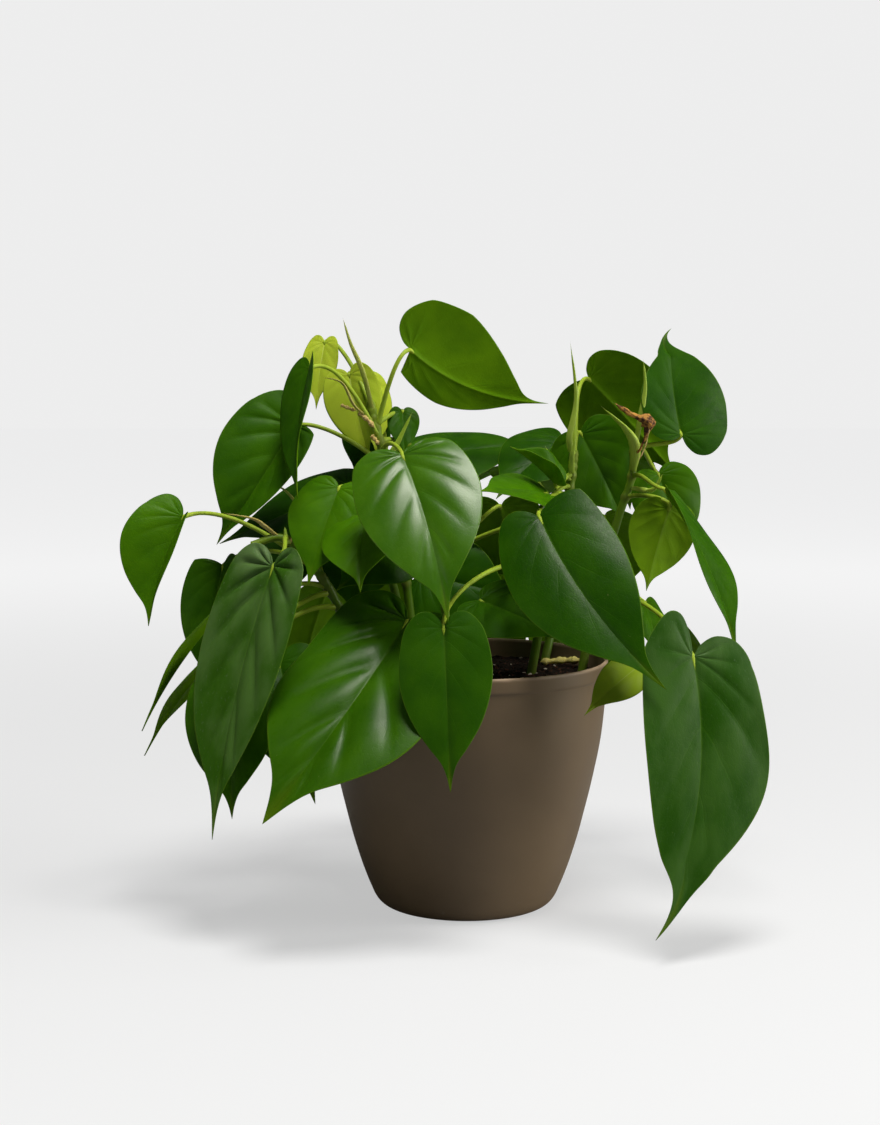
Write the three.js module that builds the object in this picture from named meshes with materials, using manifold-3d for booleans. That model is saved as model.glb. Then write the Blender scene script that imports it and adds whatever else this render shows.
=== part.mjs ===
// A heart-leaved trailing house plant in a round tapered pot.
// Millimetres, +Z up. The origin is the middle of the pot's flat underside, and -Y is the front.
// Eight rooted stems rise from the soil mix and lean out over the rim. Each stem is one grown
// piece: the stem, its leaf stalks, its pale sheaths and its heart-shaped blades.
import * as THREE from "three";
import Module from "manifold-3d";

const wasm = await Module();
wasm.setup();
const { Manifold, Mesh } = wasm;

// Pot: outer radius by height, wall, floor and drain holes.
const POT_HEIGHT = 121.6;
const POT_WALL = 2;
const POT_FLOOR = 2.6;
const POT_SIDES = 36;
const RIM_BAND = 7.2;
const RIM_PROUD = 0.5;
const DRAIN_RADIUS = 4;
const DRAIN_CIRCLE = 24;
const DRAIN_COUNT = 4;
const POT_OUTER = [
  [38, 0], [42.6, 1.6], [45.9, 6], [48.4, 12], [53, 25], [58.8, 46], [63.9, 68],
  [67.4, 88], [69.5, POT_HEIGHT - RIM_BAND],
];

// Soil mix: its level at the wall and in the middle, and the play round it.
const SOIL_EDGE = 112;
const SOIL_MIDDLE = 113.6;
const PLAY = 0.3;

// Growth: blade thickness, and the radii and facets of stems and leaf stalks.
const BLADE = 0.8;
const STEM_FOOT = 2.3;
const STEM_TOP = 1.8;
const STALK = 1.15;
const STEM_SIDES = 6;
const STALK_SIDES = 5;

// Half of the flat outline of a blade, from the notch at the stalk round the lobe to the drip
// tip: distance along the midrib as a part of its length, and half width as a part of the width.
const MARGIN = [
  [0, 0], [-0.055, 0.05], [-0.095, 0.15], [-0.085, 0.28], [0, 0.41], [0.14, 0.48], [0.3, 0.5],
  [0.45, 0.455], [0.6, 0.35], [0.73, 0.205], [0.82, 0.09], [0.9, 0.035], [1, 0],
];

const vec = (a) => new THREE.Vector3(...a);
const curve = (points) => new THREE.CatmullRomCurve3(points.map(vec), false, "catmullrom", 0.5);
const marginCurve = curve(MARGIN.map(([u, v]) => [u, v, 0]));

// Welds the corners of a closed surface, drops the triangles that lose a side, and returns a solid.
function closed(points, triangles) {
  const index = new Map();
  const corners = [];
  const slot = points.map((p) => {
    const key = [p.x, p.y, p.z].map((c) => Math.round(c * 2000) + 0).join(" ");
    if (!index.has(key)) {
      index.set(key, corners.length / 3);
      corners.push(p.x, p.y, p.z);
    }
    return index.get(key);
  });
  const faces = triangles
    .map((t) => t.map((i) => slot[i]))
    .filter(([a, b, c]) => a !== b && b !== c && c !== a);
  return new Manifold(
    new Mesh({
      numProp: 3,
      vertProperties: new Float32Array(corners),
      triVerts: new Uint32Array(faces.flat()),
    }),
  );
}

// A solid of revolution about the Z axis from a closed outline of [radius, height] corners.
function turned(outline, sides) {
  const points = [];
  const triangles = [];
  const n = outline.length;
  for (let k = 0; k < sides; k++) {
    const angle = (2 * Math.PI * k) / sides;
    outline.forEach(([r, z]) => {
      points.push(new THREE.Vector3(r * Math.cos(angle), r * Math.sin(angle), z));
    });
  }
  for (let k = 0; k < sides; k++) {
    for (let i = 0; i < n; i++) {
      const a = k * n + i;
      const b = k * n + ((i + 1) % n);
      const c = ((k + 1) % sides) * n + ((i + 1) % n);
      const d = ((k + 1) % sides) * n + i;
      triangles.push([a, d, c], [a, c, b]);
    }
  }
  return closed(points, triangles);
}

// A round tapering stem along a path, with flat ends. Its last ring can be drawn in to a point.
function rod(path, r0, r1, sides, end = r1) {
  const points = [];
  const triangles = [];
  const n = path.length;
  let side = new THREE.Vector3(0.83, -0.55, 0.07);
  path.forEach((p, i) => {
    const along = path[Math.min(i + 1, n - 1)].clone().sub(path[Math.max(i - 1, 0)]).normalize();
    side = side.addScaledVector(along, -side.dot(along)).normalize();
    const other = along.clone().cross(side);
    const r = i === n - 1 ? end : r0 + ((r1 - r0) * i) / (n - 1);
    for (let k = 0; k < sides; k++) {
      const angle = (2 * Math.PI * k) / sides;
      points.push(
        p.clone().addScaledVector(side, r * Math.cos(angle))
          .addScaledVector(other, r * Math.sin(angle)),
      );
    }
  });
  points.push(path[0].clone(), path[n - 1].clone());
  for (let k = 0; k < sides; k++) {
    const next = (k + 1) % sides;
    for (let i = 0; i < n - 1; i++) {
      const a = i * sides + k;
      const b = i * sides + next;
      triangles.push([a, b, b + sides], [a, b + sides, a + sides]);
    }
    triangles.push([n * sides, next, k]);
    triangles.push([n * sides + 1, (n - 1) * sides + k, (n - 1) * sides + next]);
  }
  return closed(points, triangles);
}

// The frame of a blade: the notch, the chord to the tip, the way its upper face looks, and the
// radii of its two bends. `arch` bends it along the midrib, `fold` lifts both halves from the
// midrib, `curl` rolls them down again towards the margin, `twist` turns the tip about the midrib,
// and `bow` sways the midrib sideways. Angles are in degrees.
function bladeFrame(leaf) {
  const rad = THREE.MathUtils.degToRad;
  const along = vec(leaf.tip).sub(vec(leaf.sinus));
  const chord = along.length();
  along.normalize();
  const up = vec(leaf.face);
  up.addScaledVector(along, -up.dot(along)).normalize();
  const arch = rad(leaf.arch);
  const length = (chord * arch) / 2 / Math.sin(arch / 2);
  return {
    at: vec(leaf.sinus),
    along,
    up,
    across: up.clone().cross(along),
    length,
    wide: leaf.wide,
    arch,
    bend: arch / length,
    fold: rad(leaf.fold),
    roll: rad(leaf.curl) / (leaf.wide / 2),
    twist: rad(leaf.twist),
    sway: leaf.bow * length * 4,
  };
}

// A point of the blade's middle surface: u along the midrib, v across as a part of the width.
function bladePoint(f, u, v) {
  const w = Math.abs(v) * f.wide;
  const y0 = (Math.sign(v) * (Math.sin(f.fold) - Math.sin(f.fold - f.roll * w))) / f.roll;
  const h0 = (Math.cos(f.fold - f.roll * w) - Math.cos(f.fold)) / f.roll;
  const turn = f.twist * (u - 0.3);
  const y = y0 * Math.cos(turn) - h0 * Math.sin(turn) + f.sway * Math.max(u, 0) * (1 - u);
  const h = y0 * Math.sin(turn) + h0 * Math.cos(turn);
  const angle = f.bend * u * f.length;
  const x1 = Math.sin(angle) / f.bend + h * Math.sin(angle);
  const z1 = (Math.cos(angle) - 1) / f.bend + h * Math.cos(angle);
  const c = Math.cos(f.arch / 2);
  const s = Math.sin(f.arch / 2);
  return f.at
    .clone()
    .addScaledVector(f.along, x1 * c - z1 * s)
    .addScaledVector(f.across, y)
    .addScaledVector(f.up, x1 * s + z1 * c);
}

function bladeNormal(f, u, v, side) {
  const p = bladePoint(f, u, v);
  const du = bladePoint(f, u + 1e-3, v).sub(p);
  const dv = bladePoint(f, u, v + side * 1e-3).sub(p);
  return du.cross(dv).multiplyScalar(side).normalize();
}

// A blade as a thin solid of even thickness: `rows` steps along the margin, `cells` from the
// midrib out to the margin on each half. Both faces are split into triangles alike.
function blade(leaf) {
  const f = bladeFrame(leaf);
  const rows = leaf.wide > 46 ? 9 : leaf.wide >= 30 ? 8 : 6;
  const cells = leaf.wide > 43 ? 2 : 1;
  const columns = 2 * cells + 1;
  const upper = [];
  const lower = [];
  for (let i = 0; i <= rows; i++) {
    const edge = marginCurve.getPoint(i / rows);
    const root = (Math.max(edge.x - 0.13, 0) / 0.87) ** 1.15;
    for (let j = -cells; j <= cells; j++) {
      const side = j < 0 ? -1 : 1;
      const s = Math.abs(j) / cells;
      const lobe = edge.x < 0 ? leaf.lobes[side < 0 ? 0 : 1] : 1;
      const belly = leaf.full * 0.1 * Math.sin(Math.PI * Math.max((edge.x - 0.3) / 0.7, 0));
      const u = root + (edge.x * lobe - root) * s;
      const v = side * (edge.y + belly) * s * leaf.halves[side < 0 ? 0 : 1];
      const n = bladeNormal(f, u, v, side);
      if (Math.abs(v) < 1e-9) n.add(bladeNormal(f, u, 0, -side)).normalize();
      const p = bladePoint(f, u, v);
      upper.push(p.clone().addScaledVector(n, BLADE / 2));
      lower.push(p.clone().addScaledVector(n, -BLADE / 2));
    }
  }
  const triangles = [];
  const down = upper.length;
  for (let i = 0; i < rows; i++) {
    for (let j = 0; j < columns - 1; j++) {
      const a = i * columns + j;
      const b = a + columns;
      const c = b + 1;
      const d = a + 1;
      const pair = j < cells ? [[a, b, c], [a, c, d]] : [[a, b, d], [b, c, d]];
      pair.forEach(([p, q, r]) => triangles.push([p, q, r], [p + down, r + down, q + down]));
    }
    const l = i * columns;
    const r = l + columns - 1;
    const l1 = l + columns;
    const r1 = r + columns;
    triangles.push([l, l1 + down, l1], [l, l + down, l1 + down]);
    triangles.push([r, r1, r1 + down], [r, r1 + down, r + down]);
  }
  return closed([...upper, ...lower], triangles);
}

// A leaf stalk: it leaves the stem rising, and reaches the blade from below and behind.
// It runs on into the midrib and ends inside the blade, so stalk and blade are one piece.
function stalk(leaf, stemPoint) {
  const f = bladeFrame(leaf);
  const span = f.at.distanceTo(stemPoint);
  const rise = f.at.clone().sub(stemPoint).normalize().add(new THREE.Vector3(0, 0, 0.6)).normalize();
  const reach = f.along.clone().multiplyScalar(0.6).addScaledVector(f.up, 0.8).normalize();
  const bezier = new THREE.CubicBezierCurve3(
    stemPoint,
    stemPoint.clone().addScaledVector(rise, span * 0.35),
    f.at.clone().addScaledVector(reach, -span * 0.35),
    f.at.clone().addScaledVector(reach, -1.4),
  );
  const path = bezier.getPoints(span > 45 ? 4 : 3);
  path.push(bladePoint(f, 0.035, 0));
  return rod(path, STALK * 1.1, STALK * 0.9, STALK_SIDES, BLADE * 0.4);
}

// The stems. Each has the path of its stem from its foot in the soil mix to its growing end.
// A leaf has the place of its stalk on the stem as a part of its length, the notch and the tip
// of its blade, the way the upper face looks, and the width of the blade laid flat.
// `lobes` lengthens or shortens the two lobes at the notch, `halves` widens or narrows the two
// halves, and `full` fills out the end towards the tip.
// A sheath is the pale spear that wraps a new leaf: its place on the stem, its radii and its path.
const stems = {};

function stem(name, ...path) {
  stems[name] = { path, leaves: [], sheaths: [] };
}

function leaf(name, at, sinus, tip, face, wide, shape = {}) {
  const even = { lobes: [1, 1], halves: [1, 1] };
  const plain = { arch: 20, fold: 12, curl: 25, twist: 0, bow: 0, full: 0, ...even };
  stems[name].leaves.push({ at, sinus, tip, face, wide, ...plain, ...shape });
}

function sheath(name, at, r0, r1, ...path) {
  stems[name].sheaths.push({ at, r0, r1, path });
}

// The tall stem at the left of the middle, with the young pale leaves at its end, the big glossy
// leaf in the centre, and the leaf that stands highest with its underside to the front.
stem("crown", [-24, 8, 100], [-28, 8, 148], [-35, 4, 193], [-41, 0, 224], [-47, 4, 248]);
leaf("crown", 0.74, [-30, -48, 223], [-9, -92, 151], [-0.15, -0.8, 0.55], 58,
  { arch: 25, bow: 0.03, lobes: [0.7, 0.6] });
leaf("crown", 0.66, [-84, 5, 235], [-121, -9, 178], [-0.1, -0.85, 0.45], 51,
  { bow: 0.03, lobes: [1.75, 0.3], fold: 28, halves: [1.16, 0.64] });
leaf("crown", 0.8, [-75, -12, 263], [-80, -30, 202], [-0.85, -0.5, 0.15], 30, { fold: 30 });
leaf("crown", 0.97, [-70, 24, 276], [-74, 16, 243], [-0.3, -0.9, 0.2], 19, { fold: 20 });
leaf("crown", 0.9, [-57.5, 14, 260], [-47, 8, 218], [-0.3, -0.9, 0.3], 30, { fold: 20 });
leaf("crown", 0.94, [-51.4, 24.6, 257.3], [-44, 18, 220], [0.4, -0.9, 0.2], 25, { fold: 20 });
leaf("crown", 0.85, [-27, 0, 272], [41, 15, 246], [-0.1, 0.93, 0.25], 47,
  { fold: 5, curl: 10, bow: 0.1, lobes: [1.4, -0.4], halves: [1.4, 0.62], full: -0.4 });
leaf("crown", 0.7, [-30, 35, 217], [37, 45, 224], [0, -0.5, 0.85], 50, { fold: 5, bow: -0.02 });
leaf("crown", 0.86, [-31, 12, 242], [-30, 2, 221], [0.1, -0.95, 0.2], 16);
leaf("crown", 0.52, [-61, -18, 206], [-75, -36, 161], [-0.2, -0.85, 0.45], 40);
leaf("crown", 0.5, [-48, -28, 195], [-49, -64, 161], [-0.3, -0.6, 0.75], 42);
leaf("crown", 0.55, [-58, 20, 205], [-123, 20, 176], [-0.1, -0.5, 0.87], 42,
  { bow: 0.06, halves: [1, 1.25] });
leaf("crown", 0.78, [-6, 54, 212], [-14, 98, 192], [-0.1, 0.4, 0.9], 50);
leaf("crown", 0.3, [-52, 32, 182], [-58, 30, 138], [0, -0.8, 0.5], 43);
leaf("crown", 0.6, [-47, 31, 236], [-56, 32, 210], [-0.2, -0.8, 0.5], 27);
sheath("crown", 0.92, 1.8, 0.4, [-50, -1, 261], [-56, 1, 275], [-60, 4, 288]);
sheath("crown", 0.88, 1, 0.5, [-54, -4, 245], [-60, -5, 256], [-70, -6, 259]);
sheath("crown", 0.7, 2, 0.7, [-34, -4, 226], [-26, -6, 242]);

// The stem that leans far out to the left and hangs its leaves beside the pot.
stem("left", [-46, -8, 100], [-57, -12, 138], [-73, -17, 168], [-88, -20, 182], [-103, -24, 179]);
leaf("left", 0.72, [-89, -60, 172.5], [-115, -88, 52], [-0.5, -0.85, 0.2], 50,
  { arch: 8, fold: 20, bow: -0.025, lobes: [0.75, 0.75], halves: [1, 0.94] });
leaf("left", 0.43, [-134, -30, 193], [-149, -45, 143], [-0.55, -0.82, 0.1], 44,
  { fold: 40, curl: 10, lobes: [1.5, 0.1], halves: [1.05, 0.6], bow: -0.02 });
leaf("left", 0.5, [-120, 8, 166], [-128, 4, 104], [-0.5, -0.8, 0.2], 42,
  { fold: 35, lobes: [0.3, 1], halves: [0.85, 1] });
leaf("left", 0.4, [-112, -26, 153], [-153, -44, 93], [-0.8, 0.1, 0.6], 30, { fold: 20 });
leaf("left", 0.32, [-121, -34, 127], [-153, -38, 80], [-0.55, 0.25, 0.8], 28,
  { fold: 10, bow: -0.05 });
leaf("left", 0.38, [-110, -45, 118], [-108, -70, 57], [-0.1, -0.95, 0.2], 44);
leaf("left", 0.18, [-89, -34, 124], [-70, -66, 63], [0, -0.9, 0.4], 48);
leaf("left", 0.45, [-86, 36, 180], [-98, 44, 144], [-0.1, -0.5, 0.87], 42);
leaf("left", 0.5, [-92, 20, 164], [-114, 34, 112], [-0.75, 0.35, 0.4], 48);
leaf("left", 0.3, [-66, 14, 138], [-92, 22, 82], [-0.9, 0.1, 0.3], 46);
sheath("left", 0.78, 1.7, 0.5, [-96, -24, 188], [-102, -26, 192], [-116, -30, 195]);
sheath("left", 0.7, 2.1, 0.7, [-86, -22, 181], [-87, -20, 188]);
sheath("left", 0.62, 1, 0.5, [-80, -8, 193], [-88, -4, 204], [-96, -4, 207]);

// The short stem at the front rim, with the broad quilted leaf that hangs over the pot.
stem("front", [-8, -34, 100], [-8, -36, 123], [-10, -38, 148], [-14, -40, 170]);
leaf("front", 0.55, [-28, -50, 146], [-90, -112, 65], [-0.2, -0.75, 0.65], 76,
  { bow: 0.04, full: 0.8, lobes: [0.9, 0.9] });
leaf("front", 0.98, [-32, -14, 178], [-62, -32, 158], [-0.2, -0.7, 0.7], 44);

// The stem at the right of the middle, with the dark leaf over the right rim, the small leaf in
// front of the pot and the long pale shoot that stands up from its end.
stem("middle", [30, -2, 100], [38, -4, 148], [45, -2, 188], [51, 0, 206], [53, 1, 224]);
leaf("middle", 0.66, [33.5, -50, 194.3], [87, -100, 122], [-0.2, -0.88, 0.42], 56,
  { bow: -0.05, lobes: [1, 0.4] });
leaf("middle", 0.35, [-11, -88, 148], [-8, -104, 77], [0, -0.95, 0.3], 42, { arch: 15 });
leaf("middle", 0.93, [62, 30, 258], [108, 42, 209], [0, 0.88, 0.45], 54, { lobes: [1.3, 0.5] });
leaf("middle", 0.96, [57, 12, 231], [79, 22, 188], [0, -0.9, 0.4], 44);
leaf("middle", 0.22, [7, -20, 152], [46, -50, 136], [0.1, -0.7, 0.7], 42);
leaf("middle", 0.74, [38, -18, 203.5], [5, -45, 206], [0, -0.5, 0.87], 34);
leaf("middle", 0.82, [43, -14, 208], [21, -20, 226], [0.5, -0.3, 0.8], 20, { fold: 60 });
leaf("middle", 0.88, [49, 34, 227], [15, 10, 199], [-0.2, -0.6, 0.77], 46);
leaf("middle", 0.5, [-22, 20, 160], [27, 8, 150], [0.05, -0.95, 0.3], 43, { halves: [1.1, 1.1] });
sheath("middle", 0.95, 2.3, 0.4, [50, -4, 229], [53, -6, 249], [50, -6, 277]);
sheath("middle", 0.78, 1.9, 0.5, [43, -8, 216], [38, -10, 226]);
sheath("middle", 0.82, 1.8, 0.6, [51, -8, 220], [53, -10, 231]);

// The stem at the right, with the long leaf that hangs to the floor, the leaf that points up, and
// the sheaths round its end, one of them dried and curled.
stem("right", [56, 8, 100], [64, 8, 148], [75, 9, 188], [82, 10, 210], [83, 12, 230]);
leaf("right", 0.25, [101, -80, 134], [82, -112, 13], [0.3, -0.93, 0.1], 66,
  { arch: 10, twist: -10, bow: 0.08, lobes: [1.5, 0.9], halves: [0.88, 1.06] });
leaf("right", 0.9, [105.5, 5, 231], [102, 20, 283], [0.3, -0.93, 0.15], 52,
  { bow: 0.06, lobes: [1.9, 0.6], halves: [1.12, 0.72], full: -0.2 });
leaf("right", 0.95, [98, 34, 210], [111, 28, 169], [0.2, -0.9, 0.3], 38);
leaf("right", 0.62, [99, -2, 195], [88, -6, 155], [0, 0.8, 0.5], 34);
leaf("right", 0.75, [96, -12, 205], [127, -40, 129], [0.8, -0.45, 0.4], 34,
  { fold: 20, bow: 0.03, twist: 55, full: 0.6, lobes: [-0.5, -0.5], halves: [0.55, 0.85] });
leaf("right", 0.35, [86, -22, 151], [92, -32, 123], [0.5, -0.8, 0.3], 18);
leaf("right", 0.15, [79, -62, 127], [52, -85, 108], [-0.2, -0.8, 0.5], 21);
leaf("right", 0.3, [106, 10, 132], [124, 16, 60], [0.85, 0.3, 0.3], 42);
sheath("right", 0.88, 1.9, 0.5, [85, 2, 239], [87, 0, 254], [86, 0, 268]);
sheath("right", 0.78, 2.6, 0.6, [82, -2, 225], [77, -6, 234], [65, -8, 245]);
sheath("right", 0.68, 1.7, 0.6, [91, 2, 204], [96, -2, 212]);
sheath("right", 0.9, 1.2, 0.8, [84, -8, 224], [87, -14, 237], [79, -17, 241], [70, -16, 247]);

// Three stems behind, which fill the back of the plant and hang over the back of the rim.
stem("back_left", [-28, 36, 100], [-36, 52, 148], [-50, 72, 178], [-62, 88, 170]);
leaf("back_left", 0.9, [-48, 92, 148], [-52, 112, 60], [-0.1, 0.95, 0.25], 54);
leaf("back_left", 0.7, [-32, 78, 190], [-46, 112, 138], [-0.2, 0.6, 0.75], 54);
leaf("back_left", 0.6, [-74, 63, 198], [-101, 76, 164], [-0.5, 0.5, 0.7], 44);
leaf("back_left", 0.45, [-72, 50, 148], [-88, 72, 88], [-0.6, 0.7, 0.2], 50);

stem("back", [4, 42, 100], [4, 62, 148], [-2, 86, 168], [-8, 102, 156]);
leaf("back", 0.95, [8, 100, 144], [4, 116, 56], [0.05, 0.95, 0.25], 56);
leaf("back", 0.7, [20, 90, 190], [28, 116, 130], [0.1, 0.6, 0.78], 52);

stem("back_right", [38, 34, 100], [50, 52, 148], [62, 74, 180], [70, 90, 172]);
leaf("back_right", 0.9, [58, 90, 148], [62, 108, 64], [0.2, 0.93, 0.25], 52);
leaf("back_right", 0.75, [74, 70, 186], [88, 96, 140], [0.4, 0.6, 0.7], 46);
leaf("back_right", 0.6, [36, 46, 212], [42, 92, 192], [0.1, 0.45, 0.88], 50);
leaf("back_right", 0.85, [76, 58, 224], [90, 92, 188], [0.4, 0.5, 0.75], 44);

// The pot: the outside from the foot up to the rim, then the inside down to the floor.
const inner = POT_OUTER.filter(([, z]) => z > 10).map(([r, z]) => [r - POT_WALL, z]).reverse();
const potSide = [
  ...POT_OUTER,
  [69.5 + RIM_PROUD, POT_HEIGHT - RIM_BAND + 0.4],
  [70, POT_HEIGHT - 0.8],
  [69.4, POT_HEIGHT],
  [68.4, POT_HEIGHT],
  [67.9, POT_HEIGHT - 0.8],
];
const potFloor = [[44.2, 6.2], [41.4, POT_FLOOR], [0, POT_FLOOR], [0, 0]];
let pot = turned([...potSide, ...inner, ...potFloor], POT_SIDES);
for (let k = 0; k < DRAIN_COUNT; k++) {
  const angle = (2 * Math.PI * (k + 0.5)) / DRAIN_COUNT;
  const x = DRAIN_CIRCLE * Math.cos(angle);
  const y = DRAIN_CIRCLE * Math.sin(angle);
  const hole = [vec([x, y, -1]), vec([x, y, POT_FLOOR + 1])];
  pot = pot.subtract(rod(hole, DRAIN_RADIUS, DRAIN_RADIUS, 10));
}

// The soil mix fills the pot to just below the rim band, with a round hole for each stem.
const soilSide = inner
  .filter(([, z], i) => z < SOIL_EDGE && i % 2 === 1)
  .map(([r, z]) => [r - PLAY, z])
  .reverse();
let soil = turned(
  [
    [0, POT_FLOOR + PLAY],
    [41 - PLAY, POT_FLOOR + PLAY],
    [44 - PLAY, 6.6],
    ...soilSide,
    [67.4 - PLAY, SOIL_EDGE],
    [40, SOIL_MIDDLE],
    [0, SOIL_MIDDLE],
  ],
  POT_SIDES,
);

const group = new THREE.Group();

function show(name, solid, colour, roughness) {
  const mesh = solid.getMesh();
  const geometry = new THREE.BufferGeometry();
  geometry.setAttribute("position", new THREE.BufferAttribute(mesh.vertProperties, 3));
  geometry.setIndex(new THREE.BufferAttribute(mesh.triVerts, 1));
  const piece = new THREE.Mesh(
    geometry.toNonIndexed(),
    new THREE.MeshStandardMaterial({ color: colour, roughness, flatShading: true }),
  );
  piece.name = name;
  group.add(piece);
}

for (const [name, { path, leaves, sheaths }] of Object.entries(stems)) {
  const line = curve(path);
  const axis = line.getPoints(7);
  const foot = [axis[0].clone().setZ(100 - PLAY), ...axis.slice(1)];
  soil = soil.subtract(rod(foot, STEM_FOOT + 1.25 * PLAY, STEM_TOP + 1.25 * PLAY, STEM_SIDES));
  const grown = [rod(axis, STEM_FOOT, STEM_TOP, STEM_SIDES)];
  leaves.forEach((one) => grown.push(blade(one), stalk(one, line.getPoint(one.at))));
  sheaths.forEach(({ at, r0, r1, path: rest }) => {
    const spear = curve([line.getPoint(at).toArray(), ...rest]);
    grown.push(rod(spear.getPoints(4), r0, r1, STALK_SIDES));
  });
  show("stem_" + name, Manifold.union(grown), 0x3d7a1e, 0.45);
}
show("soil", soil, 0x2b211b, 0.95);
show("pot", pot, 0x6b5d50, 0.6);

export default group;
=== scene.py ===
import math

import bmesh
import bpy
import numpy as np
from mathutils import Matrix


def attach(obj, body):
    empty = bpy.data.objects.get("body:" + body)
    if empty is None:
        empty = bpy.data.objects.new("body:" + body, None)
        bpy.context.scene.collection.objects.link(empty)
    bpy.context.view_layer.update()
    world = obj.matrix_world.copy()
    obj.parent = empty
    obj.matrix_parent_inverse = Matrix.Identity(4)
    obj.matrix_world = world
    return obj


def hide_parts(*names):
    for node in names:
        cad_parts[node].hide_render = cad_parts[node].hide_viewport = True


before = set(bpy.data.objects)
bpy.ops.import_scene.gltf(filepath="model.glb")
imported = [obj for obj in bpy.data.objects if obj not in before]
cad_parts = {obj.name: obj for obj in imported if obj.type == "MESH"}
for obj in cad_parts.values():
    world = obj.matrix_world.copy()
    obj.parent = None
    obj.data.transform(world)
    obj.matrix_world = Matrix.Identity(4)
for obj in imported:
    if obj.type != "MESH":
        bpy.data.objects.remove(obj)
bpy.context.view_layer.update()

# The room: a pale floor and surround, a soft light overhead, a wide one from the right and a weak
# fill from the left. The camera looks slightly down at the leaves. The surround is bright to the
# camera and dim to the plant, and the floor has a glow that only the camera sees.
# Lengths in this section are in metres.
FLOOR_REACH, FLOOR_COLOUR, FLOOR_ROUGHNESS = 9.0, (0.335, 0.345, 0.372), 0.8
GLOW_FROM, GLOW_TO, GLOW_AT_POT, GLOW_FAR_OFF = 0.10, 1.8, 0.50, 0.81
SEEN_BY_CAMERA, SEEN_BY_PLANT = 0.85, 0.07
LAMP_COLOUR = (1.0, 0.97, 0.89)
LIGHTS = {
    "overhead_light": dict(at=(0.11, -0.40, 1.45), look=(0, 0, 0.15), size=0.55, watts=19),
    "window_right": dict(at=(1.5, -0.3, 0.55), look=(0, 0, 0.1), size=0.9, watts=18),
    "fill_left": dict(at=(-1.2, -0.9, 0.5), look=(0, 0, 0.15), size=0.9, watts=1.4),
}
CAMERA_AT, CAMERA_DOWN, CAMERA_LENS, CAMERA_SENSOR = (-0.0126, -0.900, 0.2573), 5.64, 59.0, 36.0


def plain_material(name, roughness=0.5):
    """A material with one shader, whose colour and roughness the nodes added later can vary."""
    material = bpy.data.materials.new(name)
    material.use_nodes = True
    shader = material.node_tree.nodes["Principled BSDF"]
    shader.inputs["Roughness"].default_value = roughness
    return material, material.node_tree, shader


def ramp(tree, value, low, high, to_low=0.0, to_high=1.0):
    """Maps low..high smoothly to to_low..to_high, held at the ends."""
    one = tree.nodes.new("ShaderNodeMapRange")
    one.interpolation_type = "SMOOTHSTEP"
    for k, x in (("From Min", low), ("From Max", high), ("To Min", to_low), ("To Max", to_high)):
        one.inputs[k].default_value = x
    tree.links.new(value, one.inputs["Value"])
    return one.outputs[0]


def math_node(tree, kind, a, b):
    """A Math node on two values, each a socket or a number."""
    one = tree.nodes.new("ShaderNodeMath")
    one.operation = kind
    for k, value in enumerate((a, b)):
        if isinstance(value, (int, float)):
            one.inputs[k].default_value = value
        else:
            tree.links.new(value, one.inputs[k])
    return one.outputs[0]


def object_places(tree):
    """The place of a point in the object's own frame."""
    return tree.nodes.new("ShaderNodeTexCoord").outputs["Object"]


def noise(tree, vector, scale, detail=3, rough=0.5):
    """Cloudy noise from 0 to 1, with `scale` patches to the unit of its vector."""
    one = tree.nodes.new("ShaderNodeTexNoise")
    one.inputs["Scale"].default_value = scale
    one.inputs["Detail"].default_value = detail
    one.inputs["Roughness"].default_value = rough
    tree.links.new(vector, one.inputs["Vector"])
    return one.outputs["Fac"]


def bumped(tree, shader, height, strength, distance):
    """Raises the surface by a height value, `distance` metres for a height of 1."""
    one = tree.nodes.new("ShaderNodeBump")
    one.inputs["Strength"].default_value = strength
    one.inputs["Distance"].default_value = distance
    tree.links.new(height, one.inputs["Height"])
    tree.links.new(one.outputs["Normal"], shader.inputs["Normal"])


def show(name, mesh):
    """Puts a mesh into the scene as an object at the origin."""
    piece = bpy.data.objects.new(name, mesh)
    bpy.context.scene.collection.objects.link(piece)
    return piece


floor_mesh = bpy.data.meshes.new("floor")
floor_mesh.from_pydata([(x * FLOOR_REACH, y * FLOOR_REACH, 0)
                        for x, y in ((-1, -1), (1, -1), (1, 1), (-1, 1))], [], [(0, 1, 2, 3)])
floor = show("floor", floor_mesh)
floor_paint, tree, shader = plain_material("floor_paint", FLOOR_ROUGHNESS)
shader.inputs["Base Color"].default_value = (*FLOOR_COLOUR, 1)
bumped(tree, shader, noise(tree, object_places(tree), 60), 0.05, 0.0005)
from_pot = tree.nodes.new("ShaderNodeVectorMath")
from_pot.operation = "LENGTH"
tree.links.new(object_places(tree), from_pot.inputs[0])
shader.inputs["Emission Color"].default_value = (1, 1, 1, 1)
glow = ramp(tree, from_pot.outputs["Value"], GLOW_FROM, GLOW_TO, GLOW_AT_POT, GLOW_FAR_OFF)
to_eye = tree.nodes.new("ShaderNodeLightPath").outputs["Is Camera Ray"]
tree.links.new(math_node(tree, "MULTIPLY", glow, to_eye), shader.inputs["Emission Strength"])
floor_mesh.materials.append(floor_paint)

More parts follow.
